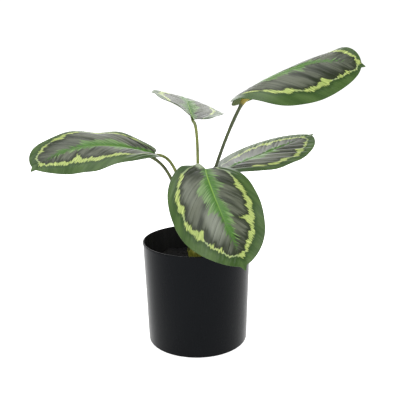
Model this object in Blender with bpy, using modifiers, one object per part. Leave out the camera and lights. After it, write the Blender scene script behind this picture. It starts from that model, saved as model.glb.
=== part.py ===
"""A potted house plant in metres, +Z up: five broad painted leaves on thin stems in a plain pot of soil.

The foot of the pot is centred on the origin, and the side that faces the viewer is -Y.
"""

import math
from dataclasses import dataclass

import bmesh
import bpy
from mathutils import Vector, noise
from mathutils.geometry import interpolate_bezier

# Clearance between pieces that touch
GAP = 0.0003

# Pot: a turned tub that widens a little towards its rim
POT_HEIGHT = 0.1154
POT_RIM_RADIUS = 0.0600
POT_FOOT_RADIUS = 0.0559
POT_WALL = 0.0016
POT_FLOOR = 0.0030
POT_FOOT_EDGE = 0.0010
POT_SIDES = 64
LIP_STEPS = 4
FOOT_EDGE_STEPS = 3

# Soil: its top lies below the rim and is uneven
SOIL_DROP = 0.0275
SOIL_RINGS = 9
SOIL_SIDES = 40
SOIL_LUMP_HEIGHT = 0.0035
SOIL_LUMP_SIZE = 0.016

# Stems: round, thicker at the joint under the leaf, thinning to a rib along its underside
STEM_RADIUS = 0.00135
JOINT_RADIUS = 0.0018
JOINT_LENGTH = 0.012
RIB_START_RADIUS = 0.0013
RIB_END_RADIUS = 0.0005
RIB_END = 0.74
JOINT_AT = 0.05
STEM_STEPS = 16
RIB_STEPS = 10
STEM_CORNERS = 2
# A blade bends down at the sides of a rod under it, so a thick rod hangs further below than a thin one
BEND_ROOM = 0.1

# Crown: a stub that stands in the soil, with one sheath around the foot of each stem
CROWN_RADIUS = 0.0088
CROWN_NECK_RADIUS = 0.0062
CROWN_TIP_RADIUS = 0.0037
CROWN_BOTTOM = 0.0580
CROWN_SHOULDER = 0.0860
CROWN_NECK_BOTTOM = 0.0940
CROWN_NECK_TOP = 0.1010
CROWN_TIP = 0.1050
CROWN_TOP = 0.1060
CROWN_SIDES = 32
FOOT_CIRCLE = 0.0046
FOOT_HEIGHT = 0.0800
FOOT_LENGTH = 0.0320
SHEATH_LENGTH = 0.0300
SHEATH_ROOT = 0.0040
SHEATH_FOOT_RADIUS = 0.0029
SHEATH_TOP_RADIUS = 0.0022
SHEATH_SIDES = 12
HOLE_OVERRUN = 0.0020

# Blades
BLADE_THICKNESS = 0.0008
BLADE_ROWS = 26
BLADE_COLUMNS = 12
LOBE_REACH = 0.20
LOBE_SPREAD = 0.024
BASE_OPENING = 0.004
TIP_START = 0.968
TIP_HALF_WIDTH = 0.0040
TIP_REACH = 0.05
TIP_BLEND = 3
ROUNDNESS = 2.2
SPINE_STEPS = 60


def at(values, u):
    """The parabola through three values that stand at u = 0, 0.5 and 1."""
    first, middle, last = values
    return first * (1 - u) * (1 - 2 * u) + middle * 4 * u * (1 - u) + last * u * (2 * u - 1)


def direction(heading, climb):
    """The unit vector at these two angles, in degrees: heading from +X about +Z, climb above the floor."""
    turn, rise = math.radians(heading), math.radians(climb)
    return Vector((math.cos(rise) * math.cos(turn), math.cos(rise) * math.sin(turn), math.sin(rise)))


@dataclass
class Blade:
    """A leaf blade: a sheet that bends along its midrib and folds and curls on both sides of it.

    Angles are in degrees, and a triple holds the values at the base, the middle and the tip. Left and
    right are those of someone who looks along the midrib from its base. A fold is the angle down from
    the level at the midrib, and a curl is what is added to it on the way to the edge. The lobes are
    the rounded corners that reach back past the midrib's base, and waves is how many run along an edge.
    """

    base: tuple
    length: float
    half_width: float
    widest: float
    bluntness: float
    heading: tuple
    climb: tuple
    roll: tuple
    left_fold: tuple
    right_fold: tuple
    left_curl: tuple
    right_curl: tuple
    lobe_depth: float
    waves: float
    left_wave: float = 0.0
    left_phase: float = 0.0
    right_wave: float = 0.0
    right_phase: float = 0.0

    def __post_init__(self):
        step = self.length / SPINE_STEPS
        self.spine = [Vector(self.base)]
        for i in range(SPINE_STEPS):
            self.spine.append(self.spine[-1] + self.tangent((i + 0.5) / SPINE_STEPS) * step)

    def tangent(self, u):
        return direction(at(self.heading, u), at(self.climb, u))

    def spine_point(self, u):
        place = min(max(u, 0.0), 1.0) * SPINE_STEPS
        i = min(int(place), SPINE_STEPS - 1)
        on_spine = self.spine[i].lerp(self.spine[i + 1], place - i)
        return on_spine + self.tangent(0) * min(u, 0.0) * self.length

    def width_at(self, along):
        """Half of the blade's width, measured over its surface."""
        if along < self.widest:
            x = (self.widest - along) / (self.widest + BASE_OPENING)
            width = (1 - x**ROUNDNESS) ** (1 / ROUNDNESS)
        else:
            x = min((along - self.widest) / (TIP_START - self.widest), 1.0)
            width = (1 - x**ROUNDNESS) ** self.bluntness
        nib = TIP_HALF_WIDTH * min((1 - along) / TIP_REACH, 1.0) + BLADE_THICKNESS / 2
        return ((width * self.half_width) ** TIP_BLEND + nib**TIP_BLEND) ** (1 / TIP_BLEND)

    def point(self, along, across, below=0.0):
        """A point of the sheet. along runs 0 to 1 from base to tip, across -1 to 1 from left to right."""
        out = abs(across) * self.width_at(along)
        spread = min(out / LOBE_SPREAD, 1.0)
        lobe = self.lobe_depth * max(0.0, 1 - along / LOBE_REACH) ** 2
        u = along - lobe * spread**2 * (3 - 2 * spread) / self.length
        v = max(u, 0.0)
        forward = self.tangent(v)
        level = forward.cross(Vector((0, 0, 1))).normalized()
        upright = level.cross(forward)
        roll = math.radians(at(self.roll, v))
        side = level * math.cos(roll) - upright * math.sin(roll)
        up = upright * math.cos(roll) + level * math.sin(roll)
        fold, curl = (self.right_fold, self.right_curl) if across >= 0 else (self.left_fold, self.left_curl)
        size, phase = (
            (self.right_wave, self.right_phase) if across >= 0 else (self.left_wave, self.left_phase)
        )
        half_turn = math.radians(at(curl, v)) * out / self.half_width / 2
        slope = math.radians(at(fold, v)) + half_turn
        chord = out * math.sin(half_turn) / half_turn if half_turn else out
        wave = size * math.sin(2 * math.pi * self.waves * along + phase)
        wave *= (out / self.half_width) ** 2 * self.width_at(along) / self.half_width
        drop = chord * math.sin(slope) - wave + below
        return self.spine_point(u) + side * math.copysign(chord * math.cos(slope), across) - up * drop


LEAVES = {
    "front": Blade(
        base=(0.0104, -0.0382, 0.2019),
        length=0.1392,
        half_width=0.0458,
        widest=0.45,
        bluntness=0.65,
        heading=(-89, -72, -60),
        climb=(-4, -32, -47),
        roll=(5, 12, 5),
        left_fold=(3, 7, 3),
        right_fold=(-14, -2, 9),
        left_curl=(-3, 25, 8),
        right_curl=(2, 36, 0),
        lobe_depth=0.0144,
        waves=3.0,
        left_wave=-0.0011,
        left_phase=2.1,
        right_wave=-0.0003,
        right_phase=0.3,
    ),
    "left": Blade(
        base=(-0.0451, 0.0241, 0.2083),
        length=0.1433,
        half_width=0.0458,
        widest=0.45,
        bluntness=0.61,
        heading=(196, 199, 223),
        climb=(19, -1, -38),
        roll=(-8, -13, -24),
        left_fold=(-8, -2, 3),
        right_fold=(-8, -16, -6),
        left_curl=(3, 27, 31),
        right_curl=(2, 30, 23),
        lobe_depth=0.0080,
        waves=2.8,
        left_wave=-0.0011,
        left_phase=-1.0,
        right_wave=-0.002,
        right_phase=0.5,
    ),
    "top": Blade(
        base=(0.0433, -0.0080, 0.2724),
        length=0.1374,
        half_width=0.0460,
        widest=0.45,
        bluntness=0.54,
        heading=(2, -17, 7),
        climb=(34, 15, -18),
        roll=(-5, 27, 43),
        left_fold=(13, 7, -13),
        right_fold=(-5, 5, 4),
        left_curl=(30, 67, 24),
        right_curl=(38, 49, 22),
        lobe_depth=0.0164,
        waves=2.5,
        left_wave=0.0025,
        left_phase=-1.0,
        right_wave=-0.0003,
        right_phase=2.5,
    ),
    "right": Blade(
        base=(0.0355, 0.0319, 0.1883),
        length=0.1460,
        half_width=0.0461,
        widest=0.41,
        bluntness=0.59,
        heading=(45, 37, 25),
        climb=(11, 10, 17),
        roll=(-6, 1, 6),
        left_fold=(2, 3, 0),
        right_fold=(-8, -2, 1),
        left_curl=(5, -3, -2),
        right_curl=(48, 18, 17),
        lobe_depth=0.0132,
        waves=2.8,
        right_wave=0.0006,
        right_phase=0.4,
    ),
    "back": Blade(
        base=(-0.0013, 0.0482, 0.2440),
        length=0.1474,
        half_width=0.0453,
        widest=0.44,
        bluntness=0.62,
        heading=(97, 96, 84),
        climb=(7, 10, -39),
        roll=(23, 21, 24),
        left_fold=(-25, 3, 8),
        right_fold=(-28, -7, -4),
        left_curl=(18, 4, 4),
        right_curl=(-5, 12, 16),
        lobe_depth=0.0139,
        waves=2.8,
        left_wave=0.0015,
        left_phase=1.8,
        right_wave=-0.0005,
        right_phase=0.9,
    ),
}


@dataclass
class Stem:
    """A stem's way from its foot in the crown to the underside of a blade.

    foot is its bearing on the foot circle in degrees, lean the heading and climb at its foot, arrival
    those at the blade. rise and reach say how far it holds to them.
    """

    blade: Blade
    foot: float
    lean: tuple
    rise: float
    reach: float
    arrival: tuple
    joint_along: float = JOINT_AT
    joint_across: float = 0.0
    joint_radius: float = JOINT_RADIUS
    has_rib: bool = True

    def foot_point(self):
        return FOOT_CIRCLE * direction(self.foot, 0) + Vector((0, 0, FOOT_HEIGHT))

    def path(self):
        """The points of the middle line and the radius at each."""
        up = direction(*self.lean)
        leaving = self.foot_point() + up * FOOT_LENGTH
        below = below_surface(self.joint_radius)
        joint = self.blade.point(self.joint_along, self.joint_across, below)
        arriving = joint - direction(*self.arrival) * self.reach
        bend = interpolate_bezier(leaving, leaving + up * self.rise, arriving, joint, STEM_STEPS)
        points = [self.foot_point(), *bend]
        swelling = self.joint_radius - STEM_RADIUS
        radii = [STEM_RADIUS + swelling * max(0.0, 1 - (joint - p).length / JOINT_LENGTH) for p in points]
        if not self.has_rib:
            return points, radii
        for i in range(1, RIB_STEPS + 1):
            part = i / RIB_STEPS
            radius = RIB_START_RADIUS + (RIB_END_RADIUS - RIB_START_RADIUS) * part
            along = self.joint_along + (RIB_END - self.joint_along) * part
            points.append(self.blade.point(along, 0, below_surface(radius)))
            radii.append(radius)
        return points, radii


def below_surface(radius):
    """How far under a blade's middle surface a rod of this radius runs clear of it."""
    return BLADE_THICKNESS / 2 + GAP + radius * (1 + BEND_ROOM)


STEMS = {
    "stem_front": Stem(LEAVES["front"], -80, (-80, 80), 0.050, 0.020, (-86, 30)),
    "stem_left": Stem(LEAVES["left"], 160, (108, 72), 0.122, 0.014, (218, 27), joint_along=0.06),
    "stem_left_second": Stem(
        LEAVES["left"], 220, (162, 80), 0.077, 0.023, (209, 32), joint_across=-0.28, has_rib=False
    ),
    "stem_top": Stem(
        LEAVES["top"], 40, (11, 88), 0.064, 0.015, (6, 53), joint_along=0.075, joint_radius=0.0034
    ),
    "stem_right": Stem(LEAVES["right"], -20, (35, 78), 0.040, 0.020, (45, 45)),
    "stem_back": Stem(LEAVES["back"], 100, (82, 78), 0.044, 0.020, (122, 3), joint_along=0.04),
}


def new_collection(name):
    made = bpy.data.collections.new(name)
    bpy.context.scene.collection.children.link(made)
    return made


def material(name, colour, roughness):
    made = bpy.data.materials.new(name)
    made.use_nodes = True
    shader = made.node_tree.nodes["Principled BSDF"]
    shader.inputs["Base Color"].default_value = (*colour, 1)
    shader.inputs["Roughness"].default_value = roughness
    shader.inputs["Metallic"].default_value = 0.0
    return made


def add_mesh(name, bm, group):
    mesh = bpy.data.meshes.new(name)
    bm.to_mesh(mesh)
    bm.free()
    mesh.shade_smooth()
    made = bpy.data.objects.new(name, mesh)
    group.objects.link(made)
    return made


def turned(name, profile, steps, group):
    """A solid of revolution. profile runs from the axis, over the outer side and back to the axis."""
    bm = bmesh.new()
    corners = [bm.verts.new((radius, 0, height)) for radius, height in profile]
    for a, b in zip(corners, corners[1:]):
        bm.edges.new((a, b))
    made = add_mesh(name, bm, group)
    screw = made.modifiers.new("Turn", "SCREW")
    screw.steps = steps
    screw.render_steps = steps
    screw.use_merge_vertices = True
    screw.merge_threshold = 0.00001
    screw.use_smooth_shade = True
    return made


def apply_modifiers(thing):
    """Gives the object its evaluated mesh in place of its modifiers."""
    graph = bpy.context.evaluated_depsgraph_get()
    thing.data = bpy.data.meshes.new_from_object(thing.evaluated_get(graph))
    thing.modifiers.clear()


def rod(name, start, end, start_radius, end_radius, sides, group):
    """A straight cone or cylinder between two points."""
    bm = bmesh.new()
    bmesh.ops.create_cone(
        bm,
        cap_ends=True,
        segments=sides,
        radius1=start_radius,
        radius2=end_radius,
        depth=(end - start).length,
    )
    made = add_mesh(name, bm, group)
    made.location = (start + end) / 2
    made.rotation_euler = (end - start).to_track_quat("Z", "Y").to_euler()
    return made


def combine(thing, other, operation):
    boolean = thing.modifiers.new(operation.title(), "BOOLEAN")
    boolean.operation = operation
    boolean.object = other


def make_pot(group):
    """Inner floor, inner wall, rim, outer wall and foot in one turned profile."""
    slope = (POT_RIM_RADIUS - POT_FOOT_RADIUS) / POT_HEIGHT
    lip = POT_WALL / 2
    profile = [(0, POT_FLOOR), (POT_FOOT_RADIUS - POT_WALL + slope * POT_FLOOR, POT_FLOOR)]
    for i in range(LIP_STEPS + 1):
        angle = math.pi * (1 - i / LIP_STEPS)
        profile.append(
            (POT_RIM_RADIUS - lip + lip * math.cos(angle), POT_HEIGHT - lip + lip * math.sin(angle))
        )
    centre = POT_FOOT_RADIUS - POT_FOOT_EDGE
    for i in range(FOOT_EDGE_STEPS + 1):
        angle = -math.pi / 2 * i / FOOT_EDGE_STEPS
        profile.append(
            (centre + POT_FOOT_EDGE * math.cos(angle), POT_FOOT_EDGE + POT_FOOT_EDGE * math.sin(angle))
        )
    profile.append((0, 0))
    return turned("pot", profile, POT_SIDES, group)


def inner_radius(height):
    """The pot's inner radius at this height."""
    return POT_FOOT_RADIUS - POT_WALL + (POT_RIM_RADIUS - POT_FOOT_RADIUS) * height / POT_HEIGHT


def make_soil(group, cutters):
    """Fills the pot up to the soil line, with lumps on top and a plain hole for the crown."""
    top = POT_HEIGHT - SOIL_DROP
    bottom = POT_FLOOR + GAP
    # The pot's flat sides come nearer than its radius
    fit = math.cos(math.pi / POT_SIDES)
    edge = inner_radius(top) * fit - GAP
    profile = [(edge * i / SOIL_RINGS, top) for i in range(SOIL_RINGS + 1)]
    profile += [(inner_radius(bottom) * fit - GAP, bottom), (0, bottom)]
    soil = turned("soil", profile, SOIL_SIDES, group)
    apply_modifiers(soil)
    for vertex in soil.data.vertices:
        if vertex.co.z > top - GAP:
            lump = noise.noise(vertex.co / SOIL_LUMP_SIZE)
            vertex.co.z += SOIL_LUMP_HEIGHT * lump
    hole = rod(
        "crown_hole",
        Vector((0, 0, CROWN_BOTTOM - GAP)),
        Vector((0, 0, POT_HEIGHT)),
        CROWN_RADIUS + 2 * GAP,
        CROWN_RADIUS + 2 * GAP,
        CROWN_SIDES,
        cutters,
    )
    combine(soil, hole, "DIFFERENCE")
    return soil


def make_crown(group, cutters):
    """A stub with a sheath for each stem, and a plain hole down each sheath for the stem's foot."""
    profile = [
        (0, CROWN_TOP),
        (CROWN_TIP_RADIUS, CROWN_TIP),
        (CROWN_NECK_RADIUS, CROWN_NECK_TOP),
        (CROWN_NECK_RADIUS, CROWN_NECK_BOTTOM),
        (CROWN_RADIUS, CROWN_SHOULDER),
        (CROWN_RADIUS, CROWN_BOTTOM),
        (0, CROWN_BOTTOM),
    ]
    crown = turned("crown", profile, CROWN_SIDES, group)
    for name, stem in STEMS.items():
        foot, up = stem.foot_point(), direction(*stem.lean)
        sheath = rod(
            f"{name}_sheath",
            foot - up * SHEATH_ROOT,
            foot + up * SHEATH_LENGTH,
            SHEATH_FOOT_RADIUS,
            SHEATH_TOP_RADIUS,
            SHEATH_SIDES,
            cutters,
        )
        combine(crown, sheath, "UNION")
    for name, stem in STEMS.items():
        foot, up = stem.foot_point(), direction(*stem.lean)
        hole = rod(
            f"{name}_hole",
            foot - up * GAP,
            foot + up * (SHEATH_LENGTH + HOLE_OVERRUN),
            STEM_RADIUS + GAP,
            STEM_RADIUS + GAP,
            SHEATH_SIDES,
            cutters,
        )
        combine(crown, hole, "DIFFERENCE")
    return crown


def make_stem(name, stem, group):
    points, radii = stem.path()
    curve = bpy.data.curves.new(name, "CURVE")
    curve.dimensions = "3D"
    curve.bevel_depth = STEM_RADIUS
    curve.bevel_resolution = STEM_CORNERS
    curve.use_fill_caps = True
    spline = curve.splines.new("POLY")
    spline.points.add(len(points) - 1)
    for knot, point, radius in zip(spline.points, points, radii):
        knot.co = (*point, 1)
        knot.radius = radius / STEM_RADIUS
    made = bpy.data.objects.new(name, curve)
    group.objects.link(made)
    return made


def make_leaf(name, blade, group):
    """The blade's middle surface as a grid of triangles, with a Solidify for its thickness."""
    bm = bmesh.new()
    bmesh.ops.create_grid(bm, x_segments=BLADE_ROWS, y_segments=BLADE_COLUMNS, size=1)
    for vertex in bm.verts:
        # Rows stand closer together near the base and the tip
        along = (1 + math.sin(vertex.co.x * math.pi / 2)) / 2
        vertex.co = blade.point(along, vertex.co.y)
    bmesh.ops.triangulate(bm, faces=bm.faces)
    made = add_mesh(f"leaf_{name}", bm, group)
    solidify = made.modifiers.new("Thickness", "SOLIDIFY")
    solidify.thickness = BLADE_THICKNESS
    solidify.offset = 0
    return made


def main():
    for thing in list(bpy.data.objects):
        bpy.data.objects.remove(thing, do_unlink=True)
    plant = new_collection("potted_plant")
    cutters = new_collection("cutters")
    pot_plastic = material("pot_plastic", (0.012, 0.012, 0.014), 0.45)
    soil_matter = material("soil", (0.010, 0.009, 0.010), 0.9)
    crown_skin = material("crown", (0.17, 0.15, 0.02), 0.55)
    stem_skin = material("stem", (0.07, 0.09, 0.03), 0.5)
    leaf_skin = material("leaf", (0.07, 0.15, 0.05), 0.42)

    make_pot(plant).data.materials.append(pot_plastic)
    make_soil(plant, cutters).data.materials.append(soil_matter)
    make_crown(plant, cutters).data.materials.append(crown_skin)
    for name, stem in STEMS.items():
        make_stem(name, stem, plant).data.materials.append(stem_skin)
    for name, blade in LEAVES.items():
        make_leaf(name, blade, plant).data.materials.append(leaf_skin)
    for cutter in cutters.objects:
        cutter.hide_render = True
        cutter.display_type = "WIRE"


main()
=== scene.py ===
import math

import bmesh
import bpy
import numpy as np
from mathutils import Matrix, Vector, noise
from mathutils.geometry import interpolate_bezier


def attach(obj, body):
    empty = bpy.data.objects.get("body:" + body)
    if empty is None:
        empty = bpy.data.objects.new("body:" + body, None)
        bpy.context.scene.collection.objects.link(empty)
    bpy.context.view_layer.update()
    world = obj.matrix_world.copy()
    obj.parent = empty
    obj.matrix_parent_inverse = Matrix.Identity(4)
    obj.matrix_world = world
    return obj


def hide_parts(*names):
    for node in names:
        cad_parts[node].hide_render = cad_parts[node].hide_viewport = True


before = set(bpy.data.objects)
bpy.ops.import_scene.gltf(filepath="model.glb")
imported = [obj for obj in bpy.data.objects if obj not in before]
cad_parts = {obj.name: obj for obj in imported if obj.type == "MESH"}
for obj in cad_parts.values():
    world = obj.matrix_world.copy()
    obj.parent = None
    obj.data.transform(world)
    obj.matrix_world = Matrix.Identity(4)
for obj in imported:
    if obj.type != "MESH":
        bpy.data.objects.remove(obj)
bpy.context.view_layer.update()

# The pot: a cover pot injection moulded in black plastic, a little wider at its rim. The wall ends
# in a rounded lip over a faint band, and the pot stands on a ring around a shallow recess.
POT_HEIGHT = 0.1154
POT_RIM_RADIUS = 0.0600
POT_FOOT_RADIUS = 0.0559
POT_WALL = 0.0016
POT_FLOOR = 0.0030
POT_SLOPE = (POT_RIM_RADIUS - POT_FOOT_RADIUS) / POT_HEIGHT
POT_SIDES = 192
LIP_BAND = 0.0026
LIP_STEP = 0.00025
FOOT_RING = 0.0045
FOOT_RECESS = 0.0008
LIP_ROUNDING = POT_WALL * 0.46
FOOT_ROUNDING = 0.001
FLOOR_ROUNDING = 0.004
# A point this near to a height or a radius is taken to be on it
NEAR = 1e-5
FAIRLY_NEAR = 1e-4
# Faces that meet at less than this many degrees are shaded as one smooth surface
SMOOTH_BELOW = 35
# The finish: its fine spots, wide clouds and upright scuffs, in waves per metre, and its colours
# from dark to light
SPOTS = 900.0
CLOUDS = 14.0
SCUFFS = (60.0, 60.0, 9.0)
BLACK_PLASTIC = ((0.0018, 0.0020, 0.0024), (0.0028, 0.0030, 0.0034))
# Painted light with dust: the paler colours of the inner wall
DUST_AND_PAINTED_LIGHT_PLASTIC = ((0.010, 0.010, 0.010), (0.016, 0.016, 0.015))


def only(thing):
    """Selects this object alone."""
    bpy.ops.object.select_all(action="DESELECT")
    thing.select_set(True)
    bpy.context.view_layer.objects.active = thing


def pick(thing, part, wanted):
    """In edit mode, selects each VERT, EDGE or FACE whose corners are all wanted."""
    bpy.ops.mesh.select_mode(type=part)
    bpy.ops.mesh.select_all(action="DESELECT")
    mesh = bmesh.from_edit_mesh(thing.data)
    for item in {"VERT": mesh.verts, "EDGE": mesh.edges, "FACE": mesh.faces}[part]:
        corners = [item] if part == "VERT" else item.verts
        if all(wanted(corner.co) for corner in corners):
            item.select_set(True)
    bmesh.update_edit_mesh(thing.data)


def grow(ratio):
    """Scales the selection across, about its own middle."""
    bpy.ops.transform.resize(value=(ratio, ratio, 1))


def extrude(rise=0.0):
    """Extrudes the selection and lifts what is new."""
    bpy.ops.mesh.extrude_region_move(TRANSFORM_OT_translate={"value": (0, 0, rise)})


def finish_piece(thing, name, slot, *nodes):
    """Applies the modifiers and the place of a piece, and ties it to the frame."""
    only(thing)
    for modifier in list(thing.modifiers):
        bpy.ops.object.modifier_apply(modifier=modifier.name)
    bpy.ops.object.transform_apply(location=True, rotation=True, scale=True)
    thing.name = name
    thing.data.name = name
    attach(thing, "root")
    if nodes:
        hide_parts(*nodes)


class Look:
    """A node material in the making. Each call adds nodes and returns their output."""

    def __init__(self, name, roughness=0.5, **settings):
        self.material = bpy.data.materials.new(name)
        self.material.use_nodes = True
        self.tree = self.material.node_tree
        self.shader = self.tree.nodes["Principled BSDF"]
        self.shader.inputs["Roughness"].default_value = roughness
        for socket, value in settings.items():
            self.shader.inputs[socket.replace("_", " ")].default_value = value

    def put(self, socket, value):
        """Links an output to a socket, or sets a plain number or colour on it."""
        if isinstance(value, bpy.types.NodeSocket):
            self.tree.links.new(value, socket)
        elif socket.type == "RGBA":
            socket.default_value = (*value, 1)
        else:
            socket.default_value = value

    def node(self, kind, inputs=(), **settings):
        made = self.tree.nodes.new(kind)
        for setting, value in settings.items():
            setattr(made, setting, value)
        for socket, value in dict(inputs).items():
            self.put(made.inputs[socket], value)
        return made

    def attribute(self, name, output="Fac"):
        return self.node("ShaderNodeAttribute", attribute_name=name).outputs[output]

    def place(self):
        return self.node("ShaderNodeTexCoord").outputs["Object"]

    def maths(self, operation, a, b=0.0):
        return self.node("ShaderNodeMath", {0: a, 1: b}, operation=operation).outputs[0]

    def stretch(self, vector, scale, shift=(0.0, 0.0, 0.0)):
        inputs = {"Vector": vector, "Scale": scale, "Location": shift}
        return self.node("ShaderNodeMapping", inputs).outputs[0]

    def noise(self, vector, scale=1.0, detail=2.0, roughness=0.5):
        inputs = {"Vector": vector, "Scale": scale, "Detail": detail, "Roughness": roughness}
        return self.node("ShaderNodeTexNoise", inputs).outputs[0]

    def height(self):
        return self.node("ShaderNodeSeparateXYZ", {0: self.place()}).outputs[2]

    def step(self, value, low, high):
        """0 below low, 1 above high, and smooth between them."""
        inputs = {"Value": value, "From Min": low, "From Max": high}
        made = self.node("ShaderNodeMapRange", inputs, interpolation_type="SMOOTHSTEP")
        return made.outputs[0]

    def level(self, value, low=0.0, high=1.0):
        """Takes a noise value, which is mostly 0.3 to 0.7, to low at 0.3 and high at 0.7."""
        inputs = {"Value": value, "From Min": 0.3, "From Max": 0.7, "To Min": low, "To Max": high}
        return self.node("ShaderNodeMapRange", inputs).outputs[0]

    def mix(self, share, a, b):
        """Colour a where share is 0, b where it is 1."""
        made = self.node("ShaderNodeMix", data_type="RGBA")
        # The colour sockets of this node are its inputs 6 and 7 and its output 2
        for place, value in zip((0, 6, 7), (share, a, b)):
            self.put(made.inputs[place], value)
        return made.outputs[2]

    def finish(self, colour, roughness=None, height=None, distance=0.0001):
        """Links the colour, and where given the roughness and a bump of this height in metres."""
        self.put(self.shader.inputs["Base Color"], colour)
        if roughness is not None:
            self.put(self.shader.inputs["Roughness"], roughness)
        if height is not None:
            bump = self.node("ShaderNodeBump", {"Height": height, "Distance": distance})
            self.put(self.shader.inputs["Normal"], bump.outputs[0])
        return self.material


look = Look("black_plastic", Specular_IOR_Level=0.07, Specular_Tint=(0.84, 0.91, 1.0, 1.0))
# Inside, the wall is painted paler: partly a film of dust from the soil, partly painted light for
# the inside, which the lamps light less
level_place = look.stretch(look.place(), (1, 1, 0))
from_axis = look.node("ShaderNodeVectorMath", {0: level_place}, operation="LENGTH")
wall_middle = look.maths("MULTIPLY", look.height(), POT_SLOPE)
wall_middle = look.maths("ADD", wall_middle, POT_FOOT_RADIUS - POT_WALL / 2)
inward = look.maths("SUBTRACT", wall_middle, from_axis.outputs["Value"])
inside_wall = look.step(inward, 0.0, POT_WALL / 4)
spots = look.noise(look.place(), SPOTS)
clouds = look.noise(look.place(), CLOUDS, 3.0)
scuffs = look.noise(look.stretch(look.place(), SCUFFS), 1.0, 4.0, 0.7)
black = look.mix(look.level(clouds), *BLACK_PLASTIC)
dust_and_painted_light = look.mix(look.level(scuffs), *DUST_AND_PAINTED_LIGHT_PLASTIC)
plastic = look.finish(
    look.mix(inside_wall, black, dust_and_painted_light),
    look.maths("ADD", look.level(scuffs, 0.22, 0.29), look.level(spots, -0.01, 0.02)),
    spots,
    0.00002,
)

band_foot = POT_HEIGHT - LIP_BAND
band_radius = POT_RIM_RADIUS - POT_SLOPE * LIP_BAND
inner_foot = POT_FOOT_RADIUS - POT_WALL + POT_SLOPE * POT_FLOOR
bpy.ops.object.select_all(action="DESELECT")
bpy.ops.mesh.primitive_cylinder_add(
    vertices=POT_SIDES,
    radius=POT_FOOT_RADIUS,
    depth=band_foot,
    location=(0, 0, band_foot / 2),
)
pot = bpy.context.object
bpy.ops.object.transform_apply(location=True)
bpy.ops.object.mode_set(mode="EDIT")
# The band under the lip, then over the rim and down inside to the floor
pick(pot, "FACE", lambda co: co.z > band_foot - NEAR)
grow((band_radius - LIP_STEP) / POT_FOOT_RADIUS)
extrude()
grow(band_radius / (band_radius - LIP_STEP))
extrude(LIP_BAND)
grow(POT_RIM_RADIUS / band_radius)
extrude()
grow((POT_RIM_RADIUS - POT_WALL) / POT_RIM_RADIUS)
extrude(POT_FLOOR - POT_HEIGHT)
grow(inner_foot / (POT_RIM_RADIUS - POT_WALL))
# The recess in the foot
pick(pot, "FACE", lambda co: co.z < NEAR)
extrude()
grow((POT_FOOT_RADIUS - FOOT_RING) / POT_FOOT_RADIUS)
extrude(FOOT_RECESS)
# Rounded edges: the lip, round the foot and round the floor inside
pick(pot, "EDGE", lambda co: co.z > POT_HEIGHT - NEAR)
bpy.ops.mesh.bevel(offset=LIP_ROUNDING, segments=5)
pick(pot, "EDGE", lambda co: abs(co.z) < NEAR and co.xy.length > POT_FOOT_RADIUS - FAIRLY_NEAR)
bpy.ops.mesh.bevel(offset=FOOT_ROUNDING, segments=4)
pick(
    pot,
    "EDGE",
    lambda co: abs(co.z - POT_FLOOR) < NEAR and co.xy.length > inner_foot - FAIRLY_NEAR,
)
bpy.ops.mesh.bevel(offset=FLOOR_ROUNDING, segments=5)
bpy.ops.mesh.select_all(action="SELECT")
bpy.ops.mesh.normals_make_consistent(inside=False)
bpy.ops.object.mode_set(mode="OBJECT")
bpy.ops.object.shade_smooth_by_angle(angle=math.radians(SMOOTH_BELOW))
pot.data.materials.append(plastic)
finish_piece(pot, "pot_shell", "pot", "pot")

# The soil: a dark crumbly mix that fills the pot to 27 mm below its rim, poured in and pressed down
# round the crown, with loose crumbs on top.
SOIL_TOP = 0.0879
SOIL_TOP_GAP = 0.0003
SOIL_EDGE = POT_FOOT_RADIUS - POT_WALL + POT_SLOPE * SOIL_TOP - SOIL_TOP_GAP
SOIL_LIFT = 0.0043
SOIL_BOTTOM = POT_FLOOR + SOIL_LIFT
SOIL_FOOT_GAP = 0.0006
SOIL_FOOT = POT_FOOT_RADIUS - POT_WALL + POT_SLOPE * SOIL_BOTTOM - SOIL_FOOT_GAP
SOIL_HOLE = 0.0092
SOIL_GRID = (260, 56)
# Height and width of its lumps, from large to small
SOIL_LUMPS = ((0.0035, 0.016), (0.0014, 0.0055), (0.0006, 0.0021))
CRUMBS = 380
CRUMB_SIZES = (0.0005, 0.0017)
CRUMB_SHAPE = (1, 0.8, 0.6)
# Depth of a crumb's dents, and how many there are across it
CRUMB_DENTS = (0.35, 1.3)
CRUMB_RISE = 0.25
CRUMB_ROOM = {"hole": 0.003, "wall": 0.002}
CRUMB_SEED = 7
GRAINS = 700.0
PATCHES = 90.0
EARTH = ((0.003, 0.003, 0.004), (0.009, 0.008, 0.008))
PALE_GRAIN = (0.026, 0.024, 0.023)


def sheet(columns, rows, shape, merge=True):
    """A grid with its points placed by shape(u, v), which gets arrays of numbers from 0 to 1."""
    bpy.ops.object.select_all(action="DESELECT")
    bpy.ops.mesh.primitive_grid_add(x_subdivisions=columns, y_subdivisions=rows, size=2)
    thing = bpy.context.object
    flat = np.empty(len(thing.data.vertices) * 3)
    thing.data.vertices.foreach_get("co", flat)
    u, v = (flat.reshape(-1, 3)[:, :2].T + 1) / 2
    thing.data.vertices.foreach_set("co", shape(u, v).ravel())
    if merge:
        bpy.ops.object.mode_set(mode="EDIT")
        bpy.ops.mesh.select_all(action="SELECT")
        bpy.ops.mesh.remove_doubles(threshold=1e-6)
        bpy.ops.mesh.normals_make_consistent(inside=False)
        bpy.ops.object.mode_set(mode="OBJECT")
    thing.data.shade_smooth()
    return thing


def soil_height(x, y):
    """How far the soil stands above or below its own level here."""
    place = Vector((x, y, SOIL_TOP))
    return sum(size * noise.noise(place / width) for size, width in SOIL_LUMPS)


def soil_surface(u, v):
    turn, out = 2 * math.pi * u, SOIL_HOLE + (SOIL_EDGE - SOIL_HOLE) * v
    x, y = out * np.cos(turn), out * np.sin(turn)
    z = [SOIL_TOP + soil_height(a, b) for a, b in zip(x, y)]
    return np.stack([x, y, z], axis=1)


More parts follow.
